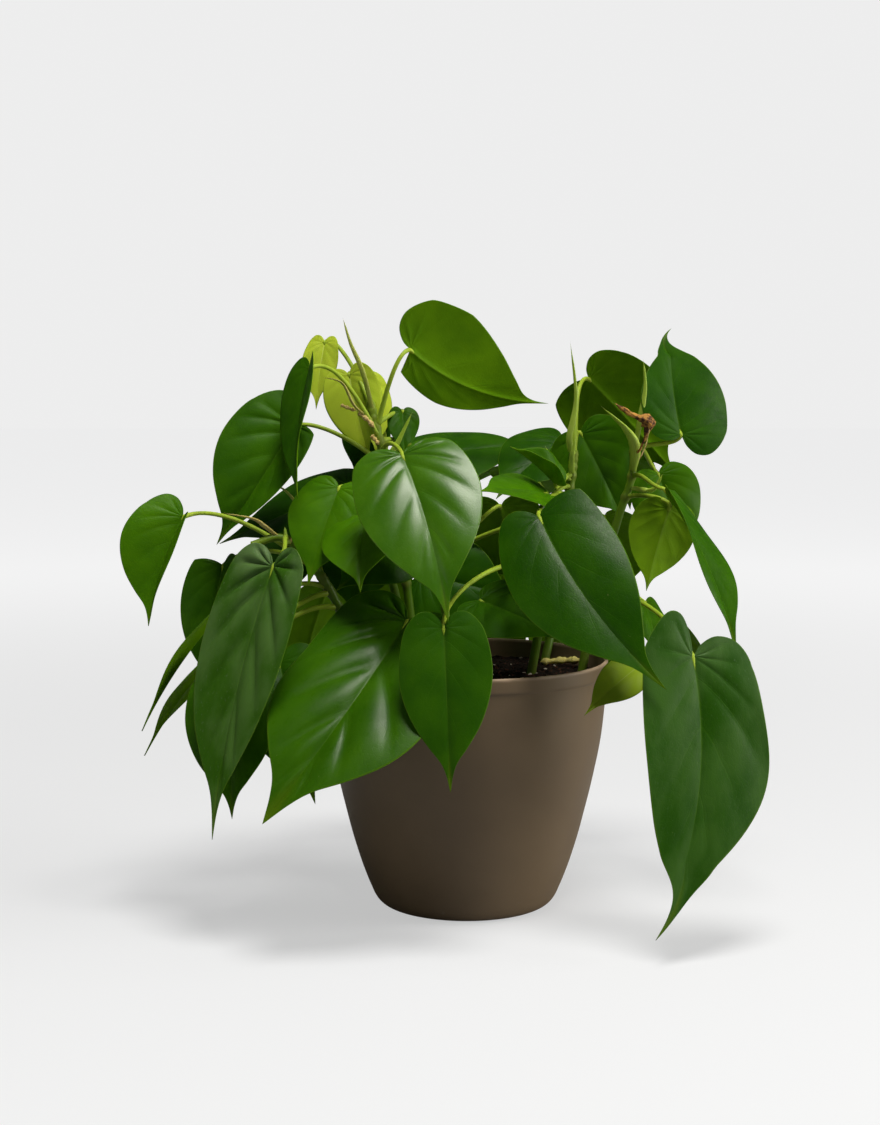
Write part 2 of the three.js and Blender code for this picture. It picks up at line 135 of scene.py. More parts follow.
world = bpy.data.worlds.new("surround")
world.use_nodes = True
tree = world.node_tree
to_camera = tree.nodes["Background"]
to_camera.inputs["Color"].default_value = (*[SEEN_BY_CAMERA] * 3, 1)
to_plant = tree.nodes.new("ShaderNodeBackground")
to_plant.inputs["Color"].default_value = (*[SEEN_BY_PLANT] * 3, 1)
which = tree.nodes.new("ShaderNodeMixShader")
ray = tree.nodes.new("ShaderNodeLightPath")
tree.links.new(ray.outputs["Is Camera Ray"], which.inputs[0])
tree.links.new(to_plant.outputs[0], which.inputs[1])
tree.links.new(to_camera.outputs[0], which.inputs[2])
tree.links.new(which.outputs[0], tree.nodes["World Output"].inputs[0])
bpy.context.scene.world = world
bpy.context.scene.view_settings.view_transform = "Standard"

for name, one in LIGHTS.items():
    lamp = bpy.data.lights.new(name, "AREA")
    lamp.shape = "DISK"
    lamp.size = one["size"]
    lamp.energy = one["watts"]
    lamp.color = LAMP_COLOUR
    holder = bpy.data.objects.new(name, lamp)
    gaze = np.subtract(one["look"], one["at"])
    holder.location = one["at"]
    tilt = math.acos(-gaze[2] / np.linalg.norm(gaze))
    holder.rotation_euler = (tilt, 0, math.atan2(gaze[1], gaze[0]) - math.pi / 2)
    bpy.context.scene.collection.objects.link(holder)

camera_data = bpy.data.cameras.new("camera")
camera_data.lens = CAMERA_LENS
camera_data.sensor_width = CAMERA_SENSOR
camera_data.clip_start = 0.01
camera = bpy.data.objects.new("camera", camera_data)
camera.location = CAMERA_AT
camera.rotation_euler = (math.radians(90 - CAMERA_DOWN), 0, 0)
bpy.context.scene.collection.objects.link(camera)
bpy.context.scene.camera = camera

# The pot: one piece of matt taupe plastic, moulded, with a softly bulged taper, a rounded foot,
# a rim band that stands proud by half a millimetre, and four drain holes through its floor.
# Sizes here and below are in millimetres, and MM makes them metres.
MM = 0.001
POT_WALL, POT_FLOOR, DRAIN_CIRCLE, DRAIN_RADIUS = 2.0, 2.6, 24.0, 4.0
FLAT_FOOT, INSIDE_FROM, SHARP_EDGE = 30, 7, 40
POT_SIDE = [
    [38, 0], [41.2, 0.5], [43.6, 2.3], [45.4, 5.0], [46.8, 8.2], [48.4, 12], [50.8, 18.4],
    [53, 25], [56.1, 35.4], [58.8, 46], [61.5, 57], [63.9, 68], [65.9, 78], [67.4, 88],
    [68.6, 100.5], [69.4, 113.6]]
POT_RIM = [
    [69.44, 113.9], [69.52, 114.1], [69.8, 114.35], [69.95, 114.8], [70.0, 115.6], [70.0, 118],
    [70.0, 120.2], [69.93, 120.9], [69.7, 121.35], [69.3, 121.6], [68.9, 121.6], [68.4, 121.4],
    [68.1, 120.9], [68.0, 120.0], [67.95, 116]]
POT_INSIDE_FLOOR = [[44.6, 6.0], [43.4, 4.0], [41.6, 2.9], [39.5, POT_FLOOR], [0, POT_FLOOR]]
POT_STEPS, POT_SPOKES, DRILL_SPOKES = 91, 160, 32
TAUPE, TAUPE_LIGHT = (0.154, 0.107, 0.061), (0.176, 0.123, 0.071)
SCUFFED, SCUFF_TOP = (0.24, 0.20, 0.16), 18.0
# The rim lip colour is partly wear and partly a painted highlight along the top of the lip.
RIM_WEAR_AND_HIGHLIGHT, RIM_WEAR_AND_HIGHLIGHT_FROM, RIM_WEAR_AND_HIGHLIGHT_TO = (0.40, 0.29, 0.20), 119.6, 121.3


def through(points, t):
    """A smooth line through points: between two of them the Catmull-Rom cubic, t from 0 to 1."""
    p = np.asarray(points, float)
    n = len(p) - 1
    p = np.vstack([2 * p[0] - p[1], p, 2 * p[-1] - p[-2]])
    x = np.clip(np.asarray(t, float) * n, 0, n)
    i = np.minimum(x.astype(int), n - 1)
    f = (x - i)[:, None]
    a, b, c, d = p[i], p[i + 1], p[i + 2], p[i + 3]
    return 0.5 * (2 * b + (c - a) * f + (2 * a - 5 * b + 4 * c - d) * f**2
                  + (3 * b - a - 3 * c + d) * f**3)


def round_grid(rings, spokes):
    """Quads between neighbouring rings of a closed round grid, in the order of its points."""
    k = np.arange(rings * spokes).reshape(rings, spokes)
    k2 = np.roll(k, -1, axis=1)
    return np.stack([k[:-1], k2[:-1], k2[1:], k[1:]], -1).reshape(-1, 4)


def joined(name, parts):
    """One welded, smooth, closed mesh from parts, in metres.

    A part has points in millimetres, faces, and named values at its points: two numbers each make
    a UV map, four make a colour and one makes a number.
    """
    shift = np.cumsum([0] + [len(points) for points, _, _ in parts[:-1]])
    faces = [face for (_, quads, _), k in zip(parts, shift) for face in (quads + k).tolist()]
    mesh = bpy.data.meshes.new(name)
    mesh.from_pydata(np.concatenate([points for points, _, _ in parts]) * MM, [], faces)
    order = np.empty(len(mesh.loops), np.int32)
    mesh.loops.foreach_get("vertex_index", order)
    for label in parts[0][2]:
        values = np.concatenate([named[label] for _, _, named in parts])
        if values.ndim == 1:
            mesh.attributes.new(label, "FLOAT", "POINT").data.foreach_set("value", values)
        elif values.shape[1] == 2:
            mesh.uv_layers.new(name=label).data.foreach_set("uv", values[order].ravel())
        else:
            colours = mesh.color_attributes.new(label, "FLOAT_COLOR", "POINT")
            colours.data.foreach_set("color", values.ravel())
    work = bmesh.new()
    work.from_mesh(mesh)
    bmesh.ops.remove_doubles(work, verts=work.verts, dist=1e-6)
    work.to_mesh(mesh)
    work.free()
    mesh.polygons.foreach_set("use_smooth", np.ones(len(mesh.polygons), bool))
    return mesh


def turned(profile, spokes):
    """A turned surface: the point at angle a on ring i is (r_i cos a, r_i sin a, z_i)."""
    profile = np.asarray(profile, float)
    a = np.linspace(0, 2 * np.pi, spokes, endpoint=False)
    high = np.broadcast_to(profile[:, 1:], (len(profile), spokes))
    return np.stack([profile[:, :1] * np.cos(a), profile[:, :1] * np.sin(a), high], -1)


def blend(tree, amount, a, b):
    """A mix of two colours, each given as a socket or as red, green and blue."""
    one = tree.nodes.new("ShaderNodeMix")
    one.data_type = "RGBA"
    for name, value in (("Factor", amount), ("A", a), ("B", b)):
        socket = [k for k in one.inputs if k.name == name and k.enabled][0]
        if isinstance(value, tuple):
            socket.default_value = (*value, 1)
        else:
            tree.links.new(value, socket)
    return [k for k in one.outputs if k.enabled][0]


outside = through(POT_SIDE, np.linspace(0, 1, POT_STEPS))
inside = outside[outside[:, 1] > INSIDE_FROM][::-1] - [POT_WALL, 0]
foot = [[0, 0], [FLAT_FOOT, 0]]
shell = turned(np.vstack([foot, outside, POT_RIM, inside, POT_INSIDE_FLOOR]), POT_SPOKES)
pot_mesh = joined("taper_pot", [(shell.reshape(-1, 3), round_grid(*shell.shape[:2]), {})])
pot = show("taper_pot", pot_mesh)
drill_profile = [[0, -1], [DRAIN_RADIUS, -1], [DRAIN_RADIUS, POT_FLOOR + 1], [0, POT_FLOOR + 1]]
drill = turned(drill_profile, DRILL_SPOKES)
quarters = np.pi / 4 + np.pi / 2 * np.arange(4)
holes = [(drill + [DRAIN_CIRCLE * np.cos(way), DRAIN_CIRCLE * np.sin(way), 0]).reshape(-1, 3)
         for way in quarters]
drill_faces = round_grid(len(drill_profile), DRILL_SPOKES)
drills = show("drills", joined("drills", [(hole, drill_faces, {}) for hole in holes]))
cut = pot.modifiers.new("drain_holes", "BOOLEAN")
cut.object = drills
cut.operation = "DIFFERENCE"
cut.solver = "EXACT"
bpy.context.view_layer.update()
pot.data = bpy.data.meshes.new_from_object(pot.evaluated_get(bpy.context.evaluated_depsgraph_get()))
pot.modifiers.clear()
bpy.data.objects.remove(drills)
pot.data.polygons.foreach_set("use_smooth", np.ones(len(pot.data.polygons), bool))
pot.data.set_sharp_from_angle(angle=math.radians(SHARP_EDGE))

taupe, tree, shader = plain_material("taupe_plastic")
own = object_places(tree)
height = tree.nodes.new("ShaderNodeSeparateXYZ")
tree.links.new(own, height.inputs[0])
cloud = noise(tree, own, 22, 4)
colour = blend(tree, ramp(tree, cloud, 0.3, 0.7), TAUPE, TAUPE_LIGHT)
scuff = ramp(tree, noise(tree, own, 240, 5, 0.7), 0.60, 0.72, 0, 0.35)
near_foot = ramp(tree, height.outputs[2], SCUFF_TOP * MM, 0.0)
colour = blend(tree, math_node(tree, "MULTIPLY", scuff, near_foot), colour, SCUFFED)
# A lighter band in patches on the top of the rim lip: partly real wear, partly a painted highlight
# where light catches the lip.
rim_wear_and_highlight = ramp(tree, height.outputs[2], RIM_WEAR_AND_HIGHLIGHT_FROM * MM, RIM_WEAR_AND_HIGHLIGHT_TO * MM, 0, 0.8)
patches = ramp(tree, noise(tree, own, 90, 3), 0.35, 0.65, 0.4, 1)
colour = blend(tree, math_node(tree, "MULTIPLY", rim_wear_and_highlight, patches), colour, RIM_WEAR_AND_HIGHLIGHT)
tree.links.new(colour, shader.inputs["Base Color"])
tree.links.new(ramp(tree, cloud, 0.3, 0.7, 0.44, 0.54), shader.inputs["Roughness"])
shader.inputs["IOR"].default_value = 1.4
bumped(tree, shader, noise(tree, own, 1800, 2), 0.12, 0.0002)
pot.data.materials.clear()
pot.data.materials.append(taupe)
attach(pot, "root")
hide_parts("pot")

# The soil mix: dark crumbly peat with small lumps, bits of reddish bark and a few pale grains,
# filling the pot to about nine millimetres below the rim.
SOIL_EDGE, SOIL_MIDDLE, SOIL_RADIUS, SOIL_FOOT = 112.0, 113.4, 67.0, 3.0
SOIL_FLAT, SOIL_RINGS, SOIL_SPOKES = 40, 96, 192
CRUMBS, CRUMB_SIZE, CRUMB_RISE, CRUMB_SINK = 2600, (0.9, 2.6), 0.75, 0.7
LUMPS, LUMP_SIZE, LUMP_LIFT = 520, (0.5, 1.7), 0.3
LUMP_KINDS = {"peat": 0.0, "bark": 0.45, "pale grain": 1.0}
LUMP_SHARES = [0.45, 0.48, 0.07]
PEAT_DARK, PEAT_BROWN = (0.002, 0.0013, 0.0008), (0.011, 0.006, 0.0035)
RED_FIBRE, BARK, PALE_GRAIN = (0.07, 0.026, 0.015), (0.050, 0.022, 0.012), (0.42, 0.38, 0.31)
pour = np.random.default_rng(3)


def soil_level(r):
    """Flat in the middle and falling a little to the wall."""
    return np.interp(r, [0, SOIL_FLAT, SOIL_RADIUS], [SOIL_MIDDLE, SOIL_MIDDLE, SOIL_EDGE])


def painted(tree, name, kind="Fac"):
    """A value painted on the points of a mesh."""
    one = tree.nodes.new("ShaderNodeAttribute")
    one.attribute_name = name
    return one.outputs[kind]


top_r = np.linspace(0, SOIL_RADIUS, SOIL_RINGS)
side = [[SOIL_RADIUS - 0.4, SOIL_EDGE - 3], [56, 46], [44, 7], [40, SOIL_FOOT], [0, SOIL_FOOT]]
ground = turned(np.vstack([np.column_stack([top_r, soil_level(top_r)]), side]), SOIL_SPOKES)
crumbs = pour.uniform(-SOIL_RADIUS, SOIL_RADIUS, (CRUMBS, 2))
crumb_size = pour.uniform(*CRUMB_SIZE, CRUMBS)
# Each crumb raises a dome sqrt(size^2 - distance^2), and the highest dome at a point counts.
for some in np.array_split(np.arange(SOIL_RINGS - 1), 12):
    x, y = ground[some][..., 0], ground[some][..., 1]
    far = np.hypot(x[..., None] - crumbs[:, 0], y[..., None] - crumbs[:, 1])
    dome = np.sqrt(np.clip(crumb_size**2 - far**2, 0, None))
    ground[some, :, 2] += dome.max(-1) * CRUMB_RISE - CRUMB_SINK
ground = ground[::-1]
bits = [(ground.reshape(-1, 3), round_grid(*ground.shape[:2]),
         {"kind": np.zeros(ground.shape[0] * SOIL_SPOKES)})]
ball = bmesh.new()
bmesh.ops.create_icosphere(ball, subdivisions=1, radius=1)
ball_points = np.array([v.co for v in ball.verts])
ball_faces = np.array([[v.index for v in f.verts] for f in ball.faces])
ball.free()
for _ in range(LUMPS):
    spot = pour.uniform(0, 1) ** 0.5 * (SOIL_RADIUS - 3)
    way, spin = pour.uniform(0, 2 * np.pi, 2)
    size = pour.uniform(*LUMP_SIZE)
    size = size * np.array([1, pour.uniform(0.35, 1), pour.uniform(0.3, 0.8)])
    turn = np.array([[np.cos(spin), -np.sin(spin), 0], [np.sin(spin), np.cos(spin), 0], [0, 0, 1]])
    lump = ball_points * size * pour.uniform(0.75, 1.2, (len(ball_points), 1)) @ turn
    lump = lump + [spot * np.cos(way), spot * np.sin(way), soil_level(spot) + LUMP_LIFT]
    kind = pour.choice(list(LUMP_KINDS.values()), p=LUMP_SHARES)
    bits.append((lump, ball_faces, {"kind": np.full(len(lump), kind)}))

peat, tree, shader = plain_material("peat", roughness=0.9)
own = object_places(tree)
kind = painted(tree, "kind")
fleck = noise(tree, own, 900, 3)
brown = blend(tree, ramp(tree, fleck, 0.35, 0.65), PEAT_DARK, PEAT_BROWN)
brown = blend(tree, ramp(tree, noise(tree, own, 420, 2), 0.60, 0.70, 0, 0.75), brown, RED_FIBRE)
brown = blend(tree, ramp(tree, kind, 0.1, LUMP_KINDS["bark"], 0, 0.85), brown, BARK)
brown = blend(tree, ramp(tree, kind, 0.7, LUMP_KINDS["pale grain"]), brown, PALE_GRAIN)
tree.links.new(brown, shader.inputs["Base Color"])
shader.inputs["IOR"].default_value = 1.2
bumped(tree, shader, fleck, 0.8, 0.0008)
soil_mesh = joined("soil_mix", bits)
soil_mesh.materials.append(peat)
soil_mix = show("soil_mix", soil_mesh)
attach(soil_mix, "root")
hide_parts("soil")

# The stems and leaf stalks: eight rooted stems of round juicy green growth, each with a swollen
# ring at its joints, and grooved stalks that pale towards the blades they carry.
# A leaf has the place of its stalk on the stem, the notch and the tip of its blade, the way its
# upper face looks and its flat width. Its other shape words are explained at blade_surface and
# blade. Its finish is tone (-1 dark to 1 light), young (0 to 1), gloss and dust. Tone is partly
# the leaf's own green and partly painted shade on the darkest leaves deep inside the plant and
# painted light on one shaded leaf low at the right, which also gets young colour as painted light.
# Dust is partly real and partly a painted grey sheen on the lobes of the big right leaf. A sheath
# has its place, two radii, the points of its path, how dry it is and how far it swells between its
# ends.
STEM_FOOT, STEM_TOP, STALK = 2.3, 1.8, 1.15
STEM_STEPS, STEM_SIDES, STALK_STEPS, STALK_SIDES = 121, 14, 25, 10
JOINT_SWELL, JOINT_LENGTH, WOODY_LENGTH = 0.5, 1.6, 16
STALK_FOOT, STALK_FOOT_LENGTH = 0.55, 0.07
KNEE_SWELL, KNEE_AT, KNEE_LENGTH = 0.15, 0.86, 0.05
SKIN_GREEN, SKIN_PALE = (0.060, 0.14, 0.003), (0.40, 0.54, 0.040)
SKIN_BLOTCH, SKIN_WOODY = (0.10, 0.16, 0.010), (0.15, 0.10, 0.035)
TAIL_FROM = 0.72
STEMS = {}


def stem(name, *path):
    STEMS[name] = dict(path=np.array(path, float), leaves=[], sheaths=[])


def leaf(name, at, sinus, tip, face, wide, **shape):
    usual = dict(arch=20, fold=12, curl=25, twist=0, bow=0, full=0, lobes=(1, 1), halves=(1, 1),
                 hook=0, ripple=0, tone=0, young=0, gloss=0.55, quilt=0.3, wave=0.7, dust=0)
    STEMS[name]["leaves"].append(
        {**usual, "at": at, "sinus": sinus, "tip": tip, "face": face, "wide": wide, **shape})


def sheath(name, at, r0, r1, *rest, dry=0.0, swell=0.35):
    STEMS[name]["sheaths"].append(dict(at=at, r0=r0, r1=r1, rest=rest, dry=dry, swell=swell))


stem("crown", [-24, 8, 100], [-28, 8, 148], [-35, 4, 193], [-41, 0, 224], [-47, 4, 248])
leaf("crown", 0.74, [-30, -48, 223], [-9, -92, 151], [-0.15, -0.8, 0.55], 58,
     arch=25, bow=0.03, lobes=(0.7, 0.6), gloss=1, quilt=0.7, wave=0.5, tone=0.4)
leaf("crown", 0.66, [-84, 5, 235], [-121, -9, 178], [-0.1, -0.85, 0.45], 51,
     bow=0.03, lobes=(1.75, 0.3), tone=0.15, gloss=0.35, quilt=0.9, fold=28, halves=(1.16, 0.64))
leaf("crown", 0.8, [-75, -12, 263], [-80, -30, 202], [-0.85, -0.5, 0.15], 30, fold=30, tone=-0.2)
leaf("crown", 0.97, [-70, 24, 276], [-74, 16, 243], [-0.3, -0.9, 0.2], 19, fold=20, young=0.9)
leaf("crown", 0.9, [-57.5, 14, 260], [-47, 8, 218], [-0.3, -0.9, 0.3], 30, fold=20, young=0.85)
leaf("crown", 0.94, [-51.4, 24.6, 257.3], [-44, 18, 220], [0.4, -0.9, 0.2], 25, fold=20, young=1)
leaf("crown", 0.85, [-27, 0, 272], [41, 15, 246], [-0.1, 0.93, 0.25], 47,
     fold=5, curl=10, bow=0.1, lobes=(1.4, -0.4), tone=0.2, halves=(1.4, 0.62), full=-0.4)
leaf("crown", 0.7, [-30, 35, 217], [37, 45, 224], [0, -0.5, 0.85], 50, fold=5, bow=-0.02, tone=-0.3)
leaf("crown", 0.86, [-31, 12, 242], [-30, 2, 221], [0.1, -0.95, 0.2], 16)
leaf("crown", 0.52, [-61, -18, 206], [-75, -36, 161], [-0.2, -0.85, 0.45], 40, tone=0.9)
leaf("crown", 0.5, [-48, -28, 195], [-49, -64, 161], [-0.3, -0.6, 0.75], 42, tone=1.1)
leaf("crown", 0.55, [-58, 20, 205], [-123, 20, 176], [-0.1, -0.5, 0.87], 42,
     tone=-0.9, bow=0.06, halves=(1, 1.25))
leaf("crown", 0.78, [-6, 54, 212], [-14, 98, 192], [-0.1, 0.4, 0.9], 50)
# Deep inside the plant: its darkest tone is painted shade.
leaf("crown", 0.3, [-52, 32, 182], [-58, 30, 138], [0, -0.8, 0.5], 43, tone=-1)
leaf("crown", 0.6, [-47, 31, 236], [-56, 32, 210], [-0.2, -0.8, 0.5], 27, tone=-0.8)
sheath("crown", 0.92, 1.8, 0.4, [-50, -1, 261], [-56, 1, 275], [-60, 4, 288], dry=0.18)
sheath("crown", 0.88, 1, 0.5, [-54, -4, 245], [-60, -5, 256], [-70, -6, 259], dry=0.3)
sheath("crown", 0.7, 2, 0.7, [-34, -4, 226], [-26, -6, 242])

stem("left", [-46, -8, 100], [-57, -12, 138], [-73, -17, 168], [-88, -20, 182], [-103, -24, 179])
leaf("left", 0.72, [-89, -60, 172.5], [-115, -88, 52], [-0.5, -0.85, 0.2], 50,
     arch=8, fold=20, bow=-0.025, lobes=(0.75, 0.75), gloss=0.2, quilt=2.1, dust=1, tone=0.15,
     halves=(1, 0.94))
leaf("left", 0.43, [-134, -30, 193], [-149, -45, 143], [-0.55, -0.82, 0.1], 44,
     fold=40, curl=10, lobes=(1.5, 0.1), tone=0.9, halves=(1.05, 0.6), bow=-0.02)
leaf("left", 0.5, [-120, 8, 166], [-128, 4, 104], [-0.5, -0.8, 0.2], 42,
     fold=35, lobes=(0.3, 1), halves=(0.85, 1))
leaf("left", 0.4, [-112, -26, 153], [-153, -44, 93], [-0.8, 0.1, 0.6], 30, fold=20)
leaf("left", 0.32, [-121, -34, 127], [-153, -38, 80], [-0.55, 0.25, 0.8], 28, fold=10, bow=-0.05)
leaf("left", 0.38, [-110, -45, 118], [-108, -70, 57], [-0.1, -0.95, 0.2], 44, tone=0.2)
leaf("left", 0.18, [-89, -34, 124], [-70, -66, 63], [0, -0.9, 0.4], 48, tone=-0.4)
# Deep inside the plant: its darkest tone is painted shade.
leaf("left", 0.45, [-86, 36, 180], [-98, 44, 144], [-0.1, -0.5, 0.87], 42, tone=-1)
leaf("left", 0.5, [-92, 20, 164], [-114, 34, 112], [-0.75, 0.35, 0.4], 48)
leaf("left", 0.3, [-66, 14, 138], [-92, 22, 82], [-0.9, 0.1, 0.3], 46)
sheath("left", 0.78, 1.7, 0.5, [-96, -24, 188], [-102, -26, 192], [-116, -30, 195], dry=0.35)
sheath("left", 0.7, 2.1, 0.7, [-86, -22, 181], [-87, -20, 188])
sheath("left", 0.62, 1, 0.5, [-80, -8, 193], [-88, -4, 204], [-96, -4, 207], dry=0.2)

stem("front", [-8, -34, 100], [-8, -36, 123], [-10, -38, 148], [-14, -40, 170])
leaf("front", 0.55, [-28, -50, 146], [-90, -112, 65], [-0.2, -0.75, 0.65], 76,
     bow=0.04, full=0.8, lobes=(0.9, 0.9), gloss=0.7, quilt=1.9, wave=1.2, tone=0)
leaf("front", 0.98, [-32, -14, 178], [-62, -32, 158], [-0.2, -0.7, 0.7], 44, tone=-0.4)

stem("middle", [30, -2, 100], [38, -4, 148], [45, -2, 188], [51, 0, 206], [53, 1, 224])
leaf("middle", 0.66, [33.5, -50, 194.3], [87, -100, 122], [-0.2, -0.88, 0.42], 56,
     bow=-0.05, lobes=(1, 0.4), gloss=0.64, quilt=0.15, wave=0.4, tone=-0.6)
leaf("middle", 0.35, [-11, -88, 148], [-8, -104, 77], [0, -0.95, 0.3], 42,
     arch=15, tone=-0.1, quilt=0.15, gloss=0.4)
leaf("middle", 0.93, [62, 30, 258], [108, 42, 209], [0, 0.88, 0.45], 54, lobes=(1.3, 0.5), tone=0.2)
leaf("middle", 0.96, [57, 12, 231], [79, 22, 188], [0, -0.9, 0.4], 44, tone=0.3)
leaf("middle", 0.22, [7, -20, 152], [46, -50, 136], [0.1, -0.7, 0.7], 42)
leaf("middle", 0.74, [38, -18, 203.5], [5, -45, 206], [0, -0.5, 0.87], 34, tone=0.5)
leaf("middle", 0.82, [43, -14, 208], [21, -20, 226], [0.5, -0.3, 0.8], 20, fold=60, tone=0.3)
leaf("middle", 0.88, [49, 34, 227], [15, 10, 199], [-0.2, -0.6, 0.77], 46, tone=-0.4)
# Deep inside the plant: its darkest tone is painted shade.
leaf("middle", 0.5, [-22, 20, 160], [27, 8, 150], [0.05, -0.95, 0.3], 43,
     tone=-1, halves=(1.1, 1.1))
sheath("middle", 0.95, 2.3, 0.4, [50, -4, 229], [53, -6, 249], [50, -6, 277], dry=-0.2)
sheath("middle", 0.78, 1.9, 0.5, [43, -8, 216], [38, -10, 226])
sheath("middle", 0.82, 1.8, 0.6, [51, -8, 220], [53, -10, 231])

stem("right", [56, 8, 100], [64, 8, 148], [75, 9, 188], [82, 10, 210], [83, 12, 230])
# This leaf's dust is partly real dust and partly a painted grey sheen on its lobes.
leaf("right", 0.25, [101, -80, 134], [82, -112, 13], [0.3, -0.93, 0.1], 66,
     arch=10, twist=-10, bow=0.08, lobes=(1.5, 0.9), gloss=0.4, quilt=0.6, wave=1.6,
     halves=(0.88, 1.06), hook=2.5, ripple=-0.09, dust=0.4, tone=-0.25)
leaf("right", 0.9, [105.5, 5, 231], [102, 20, 283], [0.3, -0.93, 0.15], 52,
     bow=0.06, lobes=(1.9, 0.6), halves=(1.12, 0.72), full=-0.2, tone=-0.7, gloss=0.3, hook=4)
leaf("right", 0.95, [98, 34, 210], [111, 28, 169], [0.2, -0.9, 0.3], 38, tone=0.8)
leaf("right", 0.62, [99, -2, 195], [88, -6, 155], [0, 0.8, 0.5], 34, tone=1, young=0.12)
leaf("right", 0.75, [96, -12, 205], [127, -40, 129], [0.8, -0.45, 0.4], 34,
     fold=20, bow=0.03, twist=55, full=0.6, lobes=(-0.5, -0.5), halves=(0.55, 0.85))
leaf("right", 0.35, [86, -22, 151], [92, -32, 123], [0.5, -0.8, 0.3], 18, tone=0.3)
# Full tone and half young colour make this shaded leaf pale: painted light.
leaf("right", 0.15, [79, -62, 127], [52, -85, 108], [-0.2, -0.8, 0.5], 21,
     tone=1, young=0.5)
leaf("right", 0.3, [106, 10, 132], [124, 16, 60], [0.85, 0.3, 0.3], 42)
sheath("right", 0.88, 1.9, 0.5, [85, 2, 239], [87, 0, 254], [86, 0, 268])
sheath("right", 0.78, 2.6, 0.6, [82, -2, 225], [77, -6, 234], [65, -8, 245], swell=0.9)
sheath("right", 0.68, 1.7, 0.6, [91, 2, 204], [96, -2, 212])
sheath("right", 0.9, 1.2, 0.8, [84, -8, 224], [87, -14, 237], [79, -17, 241], [70, -16, 247], dry=1)

stem("back_left", [-28, 36, 100], [-36, 52, 148], [-50, 72, 178], [-62, 88, 170])
leaf("back_left", 0.9, [-48, 92, 148], [-52, 112, 60], [-0.1, 0.95, 0.25], 54)
leaf("back_left", 0.7, [-32, 78, 190], [-46, 112, 138], [-0.2, 0.6, 0.75], 54)
leaf("back_left", 0.6, [-74, 63, 198], [-101, 76, 164], [-0.5, 0.5, 0.7], 44)
leaf("back_left", 0.45, [-72, 50, 148], [-88, 72, 88], [-0.6, 0.7, 0.2], 50)

stem("back", [4, 42, 100], [4, 62, 148], [-2, 86, 168], [-8, 102, 156])
leaf("back", 0.95, [8, 100, 144], [4, 116, 56], [0.05, 0.95, 0.25], 56, quilt=0.7, gloss=0.7)
leaf("back", 0.7, [20, 90, 190], [28, 116, 130], [0.1, 0.6, 0.78], 52)

stem("back_right", [38, 34, 100], [50, 52, 148], [62, 74, 180], [70, 90, 172])
leaf("back_right", 0.9, [58, 90, 148], [62, 108, 64], [0.2, 0.93, 0.25], 52)
leaf("back_right", 0.75, [74, 70, 186], [88, 96, 140], [0.4, 0.6, 0.7], 46, gloss=0.7)
leaf("back_right", 0.6, [36, 46, 212], [42, 92, 192], [0.1, 0.45, 0.88], 50)
leaf("back_right", 0.85, [76, 58, 224], [90, 92, 188], [0.4, 0.5, 0.75], 44, tone=0.3)


def unit(v):
    """Vectors divided by their lengths."""
    v = np.asarray(v, float)
    return v / np.maximum(np.linalg.norm(v, axis=-1, keepdims=True), 1e-12)


def blade_axes(one):
    """The chord from notch to tip, the way across, and the way up from the upper face."""
    along = unit(np.subtract(one["tip"], one["sinus"]))
    up = np.array(one["face"], float)
    up = unit(up - along * (up @ along))
    return along, np.cross(up, along), up


def blade_surface(one, u, v):
    """The middle surface of a blade, from flat places u along the midrib and v across.

    Across, at w = |v| times the width, the section is an arc that leaves the midrib at the fold
    angle and rolls down by the curl: y = (sin fold - sin(fold - roll w)) / roll and
    h = (cos(fold - roll w) - cos fold) / roll. It is turned by twist (u - 0.3) about the midrib
    and moved sideways by 4 bow u (1 - u) lengths, and by 4 hook q (1 - q) in the tail, where q
    runs from 0 to 1. Along, the midrib is an arc of the arch angle.
    """
    along, across, up = blade_axes(one)
    arch, fold = math.radians(one["arch"]), math.radians(one["fold"])
    chord = np.linalg.norm(np.subtract(one["tip"], one["sinus"]))
    length = chord * arch / 2 / math.sin(arch / 2)
    roll = math.radians(one["curl"]) / (one["wide"] / 2)
    w = np.abs(v) * one["wide"]
    y = np.sign(v) * (math.sin(fold) - np.sin(fold - roll * w)) / roll
    h = (np.cos(fold - roll * w) - math.cos(fold)) / roll
    turn = math.radians(one["twist"]) * (u - 0.3)
    y, h = y * np.cos(turn) - h * np.sin(turn), y * np.sin(turn) + h * np.cos(turn)
    y = y + one["bow"] * length * 4 * np.maximum(u, 0) * (1 - u)
    q = np.clip((u - TAIL_FROM) / (1 - TAIL_FROM), 0, 1)
    y = y + one["hook"] * 4 * q * (1 - q)
    bend = arch / length
    angle = bend * u * length
    x = np.sin(angle) / bend + h * np.sin(angle)
    z = (np.cos(angle) - 1) / bend + h * np.cos(angle)
    c, s = math.cos(arch / 2), math.sin(arch / 2)
    return (np.array(one["sinus"], float) + (x * c - z * s)[..., None] * along
            + y[..., None] * across + (x * s + z * c)[..., None] * up)


def stalk_path(one, start):
    """A cubic Bezier line that leaves the stem rising and reaches the blade from below."""
    along, _, up = blade_axes(one)
    end = np.array(one["sinus"], float)
    span = np.linalg.norm(end - start)
    rise = unit(unit(end - start) + np.array([0, 0, 0.6]))
    reach = unit(0.6 * along + 0.8 * up)
    t = np.linspace(0, 1, STALK_STEPS)[:, None]
    line = ((1 - t) ** 3 * start + 3 * (1 - t) ** 2 * t * (start + rise * span * 0.35)
            + 3 * (1 - t) * t**2 * (end - reach * span * 0.35) + t**3 * (end - reach * 0.4))
    on = np.array([0.012, 0.03, 0.055])
    under = blade_surface(one, on, 0 * on) - up * np.array([[0.5], [0.35], [0.2]])
    return np.vstack([line, under])


